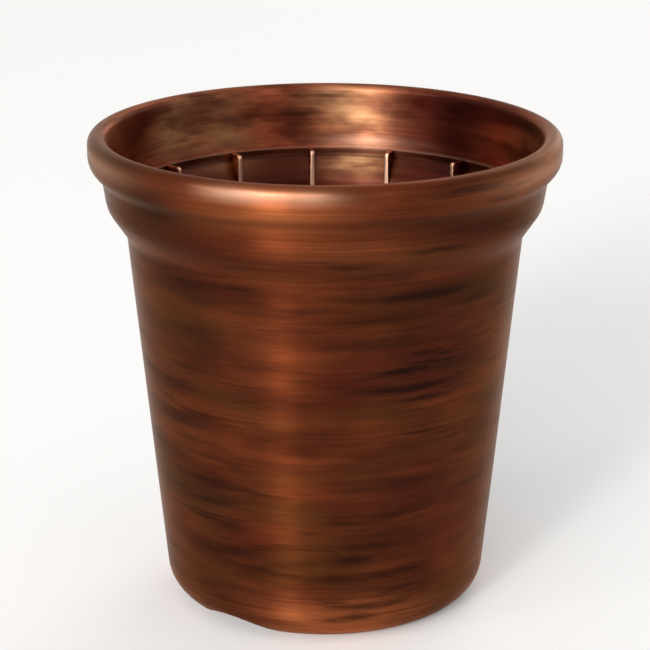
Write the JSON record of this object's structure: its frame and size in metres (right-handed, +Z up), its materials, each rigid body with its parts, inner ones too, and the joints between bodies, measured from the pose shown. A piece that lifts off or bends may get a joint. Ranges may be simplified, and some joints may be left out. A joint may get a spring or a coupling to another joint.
{
  "type": "plastic plant pot",
  "caption": "Tapered round plant pot with a rolled lip, a wide collar over a stepped shoulder, stacking fins inside, a rounded foot and a lifted floor with drain holes.",
  "frame": {"origin": "centre of the ring that the pot stands on, in the plane of the surface under it", "axes": "+Z up along the pot's axis through the mouth; -Y is the side that faces the viewer in the picture; +X is the viewer's right"},
  "size_m": [0.13, 0.13, 0.1335],
  "materials": {
    "antique_copper_plastic": "metallised copper colour, brushed round the pot, with dark antique patina in the hairlines"
  },
  "bodies": {
    "root": {"plant_pot": "antique_copper_plastic"}
  },
  "joints": []
}
